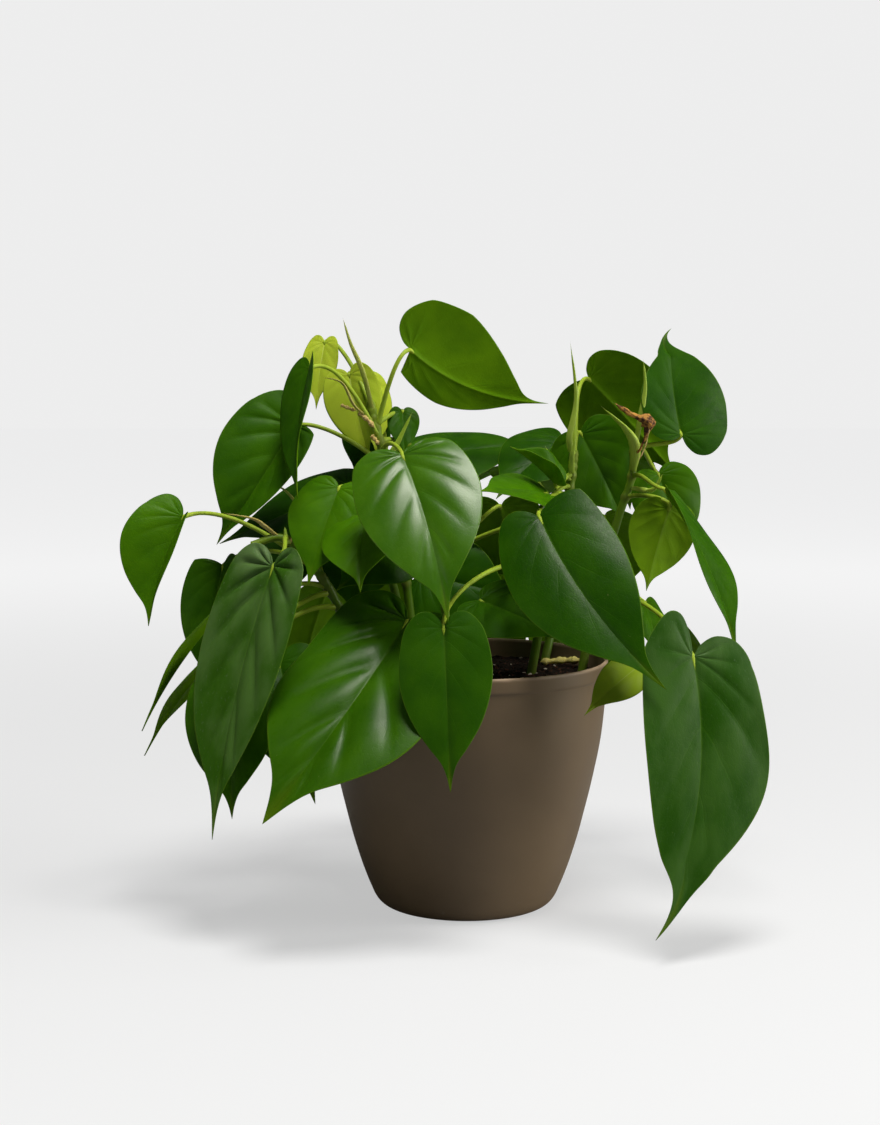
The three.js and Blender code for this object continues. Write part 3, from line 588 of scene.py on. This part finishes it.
def tube(path, radius, sides, crease=0.0, squeeze=1.0, crumple=0.0, **values):
    """A closed tube: centre line C(t) plus radius(t) (cos a, sin a) in the plane across it.

    The radius is drawn in by crease exp(-((a - pi) / 0.5)^2) along one side and varies by
    crumple sin(3 a + 20 t) sin(2 a - 31 t). The section is squeezed on its second axis. Both ends
    close to a point. Each named value is held by its points, and "around" maps the surface.
    """
    tangent = unit(np.gradient(path, axis=0))
    guide = np.array([0.83, -0.55, 0.07])
    first = unit(guide - tangent * (tangent @ guide)[:, None])
    second = np.cross(tangent, first) * squeeze
    a = np.linspace(0, 2 * np.pi, sides, endpoint=False)
    t = np.linspace(0, 1, len(path))[:, None]
    r = radius[:, None] * (1 - crease * np.exp(-(((a - np.pi) / 0.5) ** 2)))
    r = r * (1 + crumple * np.sin(3 * a + 20 * t) * np.sin(2 * a - 31 * t))
    points = (path[:, None] + (r * np.cos(a))[..., None] * first[:, None]
              + (r * np.sin(a))[..., None] * second[:, None])
    named = {k: np.broadcast_to(np.asarray(v, float).reshape(-1, 1), r.shape).ravel()
             for k, v in values.items()}
    named["around"] = np.stack(np.broadcast_arrays(t, a / (2 * np.pi)), -1).reshape(-1, 2)
    return points.reshape(-1, 3), round_grid(*r.shape), named


def uv_places(tree, name):
    """A UV map and its two numbers."""
    one = tree.nodes.new("ShaderNodeUVMap")
    one.uv_map = name
    parts = tree.nodes.new("ShaderNodeSeparateXYZ")
    tree.links.new(one.outputs["UV"], parts.inputs[0])
    return one.outputs["UV"], parts.outputs[0], parts.outputs[1]


juicy_stalk, tree, shader = plain_material("juicy_stalk")
own = object_places(tree)
blotch = noise(tree, own, 160, 4)
skin = blend(tree, painted(tree, "pale"), SKIN_GREEN, SKIN_PALE)
skin = blend(tree, ramp(tree, blotch, 0.35, 0.7, 0, 0.3), skin, SKIN_BLOTCH)
woody = math_node(tree, "MULTIPLY", painted(tree, "woody"), ramp(tree, blotch, 0.3, 0.6, 0.4, 1))
skin = blend(tree, woody, skin, SKIN_WOODY)
tree.links.new(skin, shader.inputs["Base Color"])
tree.links.new(ramp(tree, blotch, 0.3, 0.7, 0.40, 0.52), shader.inputs["Roughness"])
shader.inputs["IOR"].default_value = 1.3
bumped(tree, shader, blotch, 0.3, 0.0004)
shader.inputs["Subsurface Weight"].default_value = 0.1
shader.inputs["Subsurface Radius"].default_value = (0.6, 1.0, 0.2)
shader.inputs["Subsurface Scale"].default_value = 0.0015

for name, growth in STEMS.items():
    t = np.linspace(0, 1, STEM_STEPS)
    line = through(growth["path"], t)
    run = np.concatenate([[0], np.cumsum(np.linalg.norm(np.diff(line, axis=0), axis=1))])
    girth = STEM_FOOT + (STEM_TOP - STEM_FOOT) * t
    joint = 0 * t
    for one in growth["leaves"]:
        from_joint = run - np.interp(one["at"], t, run)
        joint = np.maximum(joint, np.exp(-((from_joint / JOINT_LENGTH) ** 2)))
    girth = girth + JOINT_SWELL * joint
    girth[0] = girth[-1] = 0
    woody = np.maximum(0.3 * joint, 0.8 * np.exp(-((run / WOODY_LENGTH) ** 2)))
    parts = [tube(line, girth, STEM_SIDES, pale=0.35 * t**3, woody=woody)]
    for one in growth["leaves"]:
        path = stalk_path(one, through(growth["path"], [one["at"]])[0])
        t2 = np.linspace(0, 1, len(path))
        r = STALK * (1.1 - 0.3 * t2) + STALK_FOOT * np.exp(-((t2 / STALK_FOOT_LENGTH) ** 2))
        r = r + KNEE_SWELL * np.exp(-(((t2 - KNEE_AT) / KNEE_LENGTH) ** 2))
        r[-2] *= 0.55
        r[0] = r[-1] = 0
        parts.append(tube(path, r, STALK_SIDES, crease=0.18, pale=0.5 + 0.45 * t2,
                          woody=0.3 * np.exp(-((t2 / 0.05) ** 2))))
    mesh = joined("stalks_" + name, parts)
    mesh.materials.append(juicy_stalk)
    stalks = show("stalks_" + name, mesh)
    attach(stalks, "root")
    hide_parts("stem_" + name)

# The sheaths: thin papery spears that wrapped the new leaves. Fresh ones are pale yellow-green
# with fine streaks, old ones are tan, and one at the right has dried to a red-brown curled knot
# with a beak and a hanging thread. Dry scars are left at the joints.
# A scar has its stem, how brown it is, the points of its path and its radius.
SCARS = [
    ("crown", 0.95, [[-61, -2, 245.5], [-57, -2.5, 244], [-53, -2, 242.5]], 0.8),
    ("crown", 0.9, [[-52.5, -1, 242], [-48, -2, 238.5], [-44, -2.5, 234]], 1.1),
    ("crown", 1.0, [[-46, -3, 231], [-44, -3, 228.5], [-42, -3, 226]], 1.0),
    ("left", 0.6, [[-83, -19, 180.5], [-85, -21, 181], [-88, -22.5, 181.5]], 1.2),
    ("right", 0.8, [[88, -14, 235], [86, -14, 226], [82.5, -13, 218]], 0.28),
    ("middle", 0.35, [[38, 24, 115.5], [50, 23.5, 116.3], [60, 20, 117]], 1.6),
]
SHEATH_STEPS, SHEATH_SIDES, SCAR_SIDES, DRIED = 41, 18, 10, 0.8
THREAD, KNOT, KNOT_AT, KNOT_LENGTH, BEAK = 0.55, 2.9, 0.53, 0.10, 0.7
FRESH, FRESH_TIP, FRESH_FIBRE = (0.38, 0.53, 0.050), (0.27, 0.43, 0.012), (0.47, 0.58, 0.12)
FRESH_STREAK, TAN, TAN_FIBRE = (0.30, 0.26, 0.05), (0.50, 0.33, 0.085), (0.62, 0.48, 0.19)
# The dried knot's dark and golden browns are partly its own colour and partly painted crease shade
# and painted fold highlights.
KNOT_DARK_AND_CREASE_SHADE, KNOT_GOLD_AND_FOLD_HIGHLIGHT = (0.05, 0.012, 0.002), (0.46, 0.22, 0.035)

papery_husk, tree, shader = plain_material("papery_husk")
own = object_places(tree)
husk_map, lengthwise, _ = uv_places(tree, "around")
dry = painted(tree, "dry")
streak = noise(tree, own, 60, 3)
fibre = tree.nodes.new("ShaderNodeTexWave")
fibre.bands_direction = "Y"
fibre.inputs["Scale"].default_value = 7
fibre.inputs["Distortion"].default_value = 1.2
tree.links.new(husk_map, fibre.inputs["Vector"])
fibre = fibre.outputs["Fac"]
fresh = blend(tree, ramp(tree, lengthwise, 0.3, 0.9), FRESH, FRESH_TIP)
fresh = blend(tree, ramp(tree, fibre, 0.2, 0.9, 0, 0.3), fresh, FRESH_FIBRE)
fresh = blend(tree, ramp(tree, streak, 0.62, 0.8, 0, 0.3), fresh, FRESH_STREAK)
tan = blend(tree, ramp(tree, fibre, 0.2, 0.9), TAN, TAN_FIBRE)
# Random dark and golden patches on the dried knot: its brown, with painted shade in the creases and
# painted highlights on the folds.
knot_colour_and_painted_light = blend(tree, ramp(tree, noise(tree, own, 420, 4), 0.42, 0.60), KNOT_DARK_AND_CREASE_SHADE, KNOT_GOLD_AND_FOLD_HIGHLIGHT)
husk = blend(tree, ramp(tree, dry, 0, 0.5), fresh, tan)
husk = blend(tree, ramp(tree, dry, 0.6, 0.95), husk, knot_colour_and_painted_light)
tree.links.new(husk, shader.inputs["Base Color"])
tree.links.new(ramp(tree, dry, 0, 1, 0.42, 0.78), shader.inputs["Roughness"])
bumped(tree, shader, math_node(tree, "ADD", fibre, streak), 0.35, 0.0004)
shader.inputs["Subsurface Weight"].default_value = 0.15
shader.inputs["Subsurface Radius"].default_value = (1.0, 1.0, 0.3)
shader.inputs["Subsurface Scale"].default_value = 0.0015


def ease(x):
    """0 below 0, 1 above 1, and 3x^2 - 2x^3 between."""
    x = np.clip(x, 0, 1)
    return x * x * (3 - 2 * x)


for name, growth in STEMS.items():
    parts = []
    t = np.linspace(0, 1, SHEATH_STEPS)
    for one in growth["sheaths"]:
        path = through([through(growth["path"], [one["at"]])[0], *one["rest"]], t)
        if one["dry"] > DRIED:
            look = dict(crumple=0.35, squeeze=0.9)
            r = THREAD + KNOT * np.exp(-(((t - KNOT_AT) / KNOT_LENGTH) ** 2))
            r = r + BEAK * ease((t - 0.5) / 0.3)
        else:
            look = dict(crumple=0.03, squeeze=0.5)
            foot = 0.8 * one["r0"]
            r = foot + (one["r1"] - foot) * t**1.6
            r = r * (0.9 + one["swell"] * np.sin(np.pi * np.clip(t * 1.1, 0, 1)) ** 1.5)
        r = r * ease((1 - t) / 0.15)
        r[0] = 0
        dry = one["dry"] + 0.25 * ease((t - 0.9) / 0.1)
        parts.append(tube(path, r, SHEATH_SIDES, crease=0.45, dry=dry, **look))
    for where, brown, path, r in SCARS:
        if where == name:
            path = through(path, t)
            r = r * (1 + 0.25 * np.sin(19 * t)) * ease(t / 0.1) * ease((1 - t) / 0.2)
            parts.append(tube(path, r, SCAR_SIDES, crumple=0.25, dry=0.3 * brown + 0.22))
    if parts:
        mesh = joined("sheaths_" + name, parts)
        mesh.materials.append(papery_husk)
        sheaths = show("sheaths_" + name, mesh)
        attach(sheaths, "root")
        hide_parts("stem_" + name)

# The blades: waxy heart-shaped leaves with a drip tip, about half a millimetre thick. The midrib
# is a groove above and a ridge below, the side veins curve forward to the margin, and the blade
# swells between them. The youngest are yellow-green, and two old ones are dusty. Leaves deep
# inside the plant get the darkest green as painted shade, one small shaded leaf low at the right
# is made pale as painted light, and on the big right leaf the dust on the lobes is partly a
# painted grey sheen.
MARGIN = np.array([
    (0, 0), (-0.055, 0.05), (-0.095, 0.15), (-0.085, 0.28), (0, 0.41), (0.14, 0.48), (0.3, 0.5),
    (0.45, 0.455), (0.6, 0.35), (0.73, 0.205), (0.82, 0.09), (0.9, 0.035), (1, 0)])
ACROSS = np.array([0, 0.015, 0.04, 0.09, 0.16, 0.25, 0.35, 0.46, 0.57, 0.68, 0.79, 0.88, 0.95,
                   0.985, 1])
SIDE_VEINS, BROAD, BROAD_ROWS, SMALL_ROWS = 9, 30, 8, 5
ROOT_FROM, ROOT_POWER, ROW_POWER = 0.05, 2.6, 1.3
BELLY_FROM, BELLY = 0.3, 0.1
SWELL_POWER, SWELL_MIDDLE, SWELL_WIDTH = 0.7, 0.55, 6
WAVES, WAVE_POWER, SAG, SAGS = 2.2, 2.5, 0.5, 0.8
GROOVE, GROOVE_WIDTH, RIB, RIB_WIDTH = 0.35, 1.1, 0.35, 0.8
BLADE_THICK, EDGE_THINNING = 0.45, 0.45
DUST_AND_SHEEN_LOW, DUST_AND_SHEEN_REACH = 0.3, 0.4
MAP_LENGTH, MAP_SPREAD = 8, 40
DEEP, DEEP_PATCH = (0.012, 0.058, 0.0004), (0.021, 0.082, 0.0008)
LIGHT, LIGHT_PATCH = (0.040, 0.132, 0.0008), (0.058, 0.168, 0.0012)
VEIN, MIDRIB = (0.060, 0.16, 0.008), (0.070, 0.17, 0.010)
BACK, BACK_PATCH = (0.088, 0.215, 0.0004), (0.125, 0.280, 0.0010)
BACK_VEIN, BACK_MIDRIB = (0.15, 0.34, 0.010), (0.20, 0.36, 0.020)
YOUNG, YOUNG_VEIN = (0.46, 0.58, 0.040), (0.60, 0.70, 0.14)
EDGE, TIP = (0.10, 0.20, 0.010), (0.10, 0.17, 0.004)
DUST_AND_SHEEN, NICK = (0.28, 0.34, 0.22), (0.26, 0.30, 0.12)
grow = np.random.default_rng(7)


def blade(one):
    """One closed blade: its points, its quads and the values that its material reads.

    Row t runs from the midrib out to the margin point E(t): u = root + (E_u - root) s^1.3 and
    v = E_v s, so the rows follow the side veins. Lobes lengthens the lobes and halves widens the
    halves, left and right. Full swells the belly, and ripple waves the right edge as
    sin(6 pi t) sin(pi t). The surface is then raised along its normal by
    quilt (|sin(pi veins t)|^0.7 - 0.55) between the veins, by a wave that grows to the margin as
    s^2.5, and lowered by a groove exp(-(w / 1.1)^2) at the midrib.
    """
    broad = one["wide"] > BROAD
    rows = SIDE_VEINS * (BROAD_ROWS if broad else SMALL_ROWS)
    t = np.linspace(0, 1, rows + 1)
    edge = through(MARGIN, t)
    root = np.clip((edge[:, 0] - ROOT_FROM) / (1 - ROOT_FROM), 0, 1) ** ROOT_POWER
    belly = np.clip((edge[:, 0] - BELLY_FROM) / (1 - BELLY_FROM), 0, 1)
    belly = one["full"] * BELLY * np.sin(np.pi * belly)
    s = ACROSS if broad else ACROSS[::2]
    luck = grow.uniform(0, 1, 6)
    tt = t[:, None]
    step = 1e-3
    halves = []
    for side in (-1, 1):
        e = np.where(edge[:, 0] < 0, edge[:, 0] * one["lobes"][int(side > 0)], edge[:, 0])
        u = root[:, None] + (e - root)[:, None] * s**ROW_POWER
        v = side * (edge[:, 1] + belly)[:, None] * s * one["halves"][int(side > 0)]
        v = v * (1 + one["ripple"] * max(side, 0) * np.sin(6 * np.pi * tt) * np.sin(np.pi * tt))
        w = np.abs(v) * one["wide"]
        p = blade_surface(one, u, v)
        normal = 0
        for way in (side, -side):
            q = np.where(np.abs(v) < 1e-9, way, side)
            du = blade_surface(one, u + step, v) - p
            dv = blade_surface(one, u, v + q * step) - p
            normal = normal + unit(np.cross(du, dv) * q[..., None])
        normal = unit(normal)
        swell = np.abs(np.sin(np.pi * SIDE_VEINS * tt)) ** SWELL_POWER - SWELL_MIDDLE
        swell = swell * ease(s / 0.1) * ease((1 - s) / 0.4) * np.minimum(w / SWELL_WIDTH, 1)
        lift = one["quilt"] * swell
        waves = np.sin(2 * np.pi * ((WAVES + luck[0]) * tt + luck[1] + side * 0.2))
        lift = lift + one["wave"] * s**WAVE_POWER * np.sin(np.pi * tt) * waves
        sags = np.sin(2 * np.pi * (SAGS * u + luck[2]))
        lift = lift + SAG * sags * np.sin(np.pi * tt) * s
        groove = GROOVE * np.exp(-((w / GROOVE_WIDTH) ** 2))
        lift = lift - groove * np.clip(1.1 - u, 0, 1) * (u > 0.001)
        thick = BLADE_THICK * (1 - EDGE_THINNING * s**4) / 2
        rib = RIB * np.exp(-((w / RIB_WIDTH) ** 2)) * np.clip(1.05 - u, 0, 1) ** 0.6
        upper = p + normal * (lift + thick)[..., None]
        lower = p + normal * (lift - thick - rib)[..., None]
        flat = np.stack([u * MAP_LENGTH, v * one["wide"] / 10], -1) + luck[3:5] * MAP_SPREAD
        veins = np.stack(np.broadcast_arrays(SIDE_VEINS * tt, s), -1)
        halves.append((upper, lower, flat, veins))
    upper, lower, flat, veins = [
        np.concatenate([left[:, :0:-1], right], 1) for left, right in zip(*halves)]
    n, m = upper.shape[:2]
    count = n * m
    # Dust gathers toward the lobes; on the big right leaf this lobe film is partly a painted grey
    # sheen.
    dust_and_sheen_share = DUST_AND_SHEEN_LOW + (1 - DUST_AND_SHEEN_LOW) * np.exp(-((t / DUST_AND_SHEEN_REACH) ** 2))
    dust_and_sheen_share = np.repeat(one["dust"] * dust_and_sheen_share, m)
    k = np.arange(count).reshape(n, m)
    a, b, c, d = k[:-1, :-1], k[1:, :-1], k[1:, 1:], k[:-1, 1:]
    top = np.stack([a, b, c, d], -1).reshape(-1, 4)
    under = np.stack([a, d, c, b], -1).reshape(-1, 4) + count
    right = np.stack([k[:-1, -1], k[1:, -1], k[1:, -1] + count, k[:-1, -1] + count], -1)
    left = np.stack([k[1:, 0], k[:-1, 0], k[:-1, 0] + count, k[1:, 0] + count], -1)
    tone = 0.5 + 0.35 * (one["tone"] + luck[5] * 0.3 - 0.15)
    face = np.repeat([0.0, 1.0], count)
    whole = np.ones(2 * count)
    growth = np.column_stack([tone * whole, one["young"] * whole, face, one["gloss"] * whole])
    return (np.concatenate([upper.reshape(-1, 3), lower.reshape(-1, 3)]),
            np.concatenate([top, under, right, left]),
            {"flat": np.tile(flat.reshape(-1, 2), (2, 1)),
             "veins": np.tile(veins.reshape(-1, 2), (2, 1)),
             "growth": growth, "dust": np.tile(dust_and_sheen_share, 2)})


waxy_leaf, tree, shader = plain_material("waxy_leaf")
growth = tree.nodes.new("ShaderNodeSeparateColor")
tree.links.new(painted(tree, "growth", "Color"), growth.inputs["Color"])
tone, young, under = growth.outputs
gloss = painted(tree, "growth", "Alpha")
flat, _, _ = uv_places(tree, "flat")
_, vein_count, out = uv_places(tree, "veins")
wander = noise(tree, flat, 0.7, 3)
wobbly = math_node(tree, "ADD", vein_count, math_node(tree, "MULTIPLY", wander, 0.25))
from_vein = math_node(tree, "FRACT", math_node(tree, "SUBTRACT", wobbly, 0.62), 0)
from_vein = math_node(tree, "ABSOLUTE", math_node(tree, "SUBTRACT", from_vein, 0.5), 0)
fading = ramp(tree, out, 0.9, 0.3)
side_vein = math_node(tree, "MULTIPLY", ramp(tree, from_vein, 0.045, 0.0), fading)
midrib = ramp(tree, out, 0.04, 0.0)
edge_line = ramp(tree, out, 0.98, 0.995)
tip = ramp(tree, vein_count, 0.9 * SIDE_VEINS, SIDE_VEINS, 0, 0.6)
net = tree.nodes.new("ShaderNodeTexVoronoi")
net.feature = "DISTANCE_TO_EDGE"
net.inputs["Scale"].default_value = 5.5
tree.links.new(flat, net.inputs["Vector"])
net_lines = ramp(tree, net.outputs["Distance"], 0.09, 0.0)
mottle = noise(tree, flat, 0.55, 4)
patch = ramp(tree, mottle, 0.3, 0.7)
deep = blend(tree, patch, DEEP, DEEP_PATCH)
light = blend(tree, patch, LIGHT, LIGHT_PATCH)
# Dark to light green by tone: the leaf's own green, and on leaves deep inside the plant the darkest
# green is painted shade.
green = blend(tree, ramp(tree, tone, 0.3, 0.85), deep, light)
lines = math_node(tree, "MAXIMUM", math_node(tree, "MULTIPLY", side_vein, 0.11),
                  math_node(tree, "MULTIPLY", net_lines, 0.04))
green = blend(tree, lines, green, VEIN)
green = blend(tree, math_node(tree, "MULTIPLY", midrib, 0.35), green, MIDRIB)
back = blend(tree, patch, BACK, BACK_PATCH)
back = blend(tree, lines, back, BACK_VEIN)
back = blend(tree, math_node(tree, "MULTIPLY", midrib, 0.3), back, BACK_MIDRIB)
green = blend(tree, under, green, back)
pale = blend(tree, math_node(tree, "MAXIMUM", lines, midrib), YOUNG, YOUNG_VEIN)
# The young yellow-green: real on the youngest leaves, painted light on one shaded leaf low at the
# right.
green = blend(tree, young, green, pale)
green = blend(tree, math_node(tree, "MULTIPLY", edge_line, 0.5), green, EDGE)
green = blend(tree, tip, green, TIP)
# Grey film and specks: real dust on the old leaves, and partly a painted sheen on the lobes of the
# big right leaf.
dust = painted(tree, "dust")
specks = ramp(tree, noise(tree, flat, 9, 2), 0.60, 0.72, 0, 0.4)
film_and_sheen = ramp(tree, mottle, 0.35, 0.6, 0.04, 0.32)
dust = math_node(tree, "MULTIPLY", dust, math_node(tree, "MAXIMUM", specks, film_and_sheen))
green = blend(tree, dust, green, DUST_AND_SHEEN)
nicks = ramp(tree, noise(tree, flat, 5, 2), 0.76, 0.80, 0, 0.35)
green = blend(tree, nicks, green, NICK)
tree.links.new(green, shader.inputs["Base Color"])
matt = ramp(tree, gloss, 0.0, 1.0, 0.50, 0.25)
matt = math_node(tree, "ADD", matt, math_node(tree, "MULTIPLY", under, 0.2))
matt = math_node(tree, "ADD", matt, ramp(tree, noise(tree, flat, 3, 4), 0.3, 0.7, -0.04, 0.07))
tree.links.new(matt, shader.inputs["Roughness"])
wax = ramp(tree, gloss, 0.55, 1.0, 0, 0.50)
wax = math_node(tree, "MULTIPLY", wax, ramp(tree, mottle, 0.25, 0.6, 0.7, 1.0))
wax = math_node(tree, "MULTIPLY", wax, math_node(tree, "SUBTRACT", 1.0, under))
tree.links.new(wax, shader.inputs["Coat Weight"])
shader.inputs["Coat Roughness"].default_value = 0.29
relief = math_node(tree, "ADD", math_node(tree, "MULTIPLY", net_lines, -0.18),
                   math_node(tree, "MULTIPLY", side_vein, -0.4))
fine = math_node(tree, "ADD", math_node(tree, "MULTIPLY", noise(tree, flat, 22, 2), 0.10),
                 math_node(tree, "MULTIPLY", noise(tree, flat, 4, 3), 0.45))
bumped(tree, shader, math_node(tree, "ADD", relief, fine), 0.35, 0.0003)
shader.inputs["IOR"].default_value = 1.16
shader.inputs["Subsurface Weight"].default_value = 0.12
shader.inputs["Subsurface Radius"].default_value = (0.6, 1.0, 0.15)
shader.inputs["Subsurface Scale"].default_value = 0.0012

for name, growth in STEMS.items():
    mesh = joined("blades_" + name, [blade(one) for one in growth["leaves"]])
    mesh.materials.append(waxy_leaf)
    blades = show("blades_" + name, mesh)
    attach(blades, "root")
    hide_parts("stem_" + name)
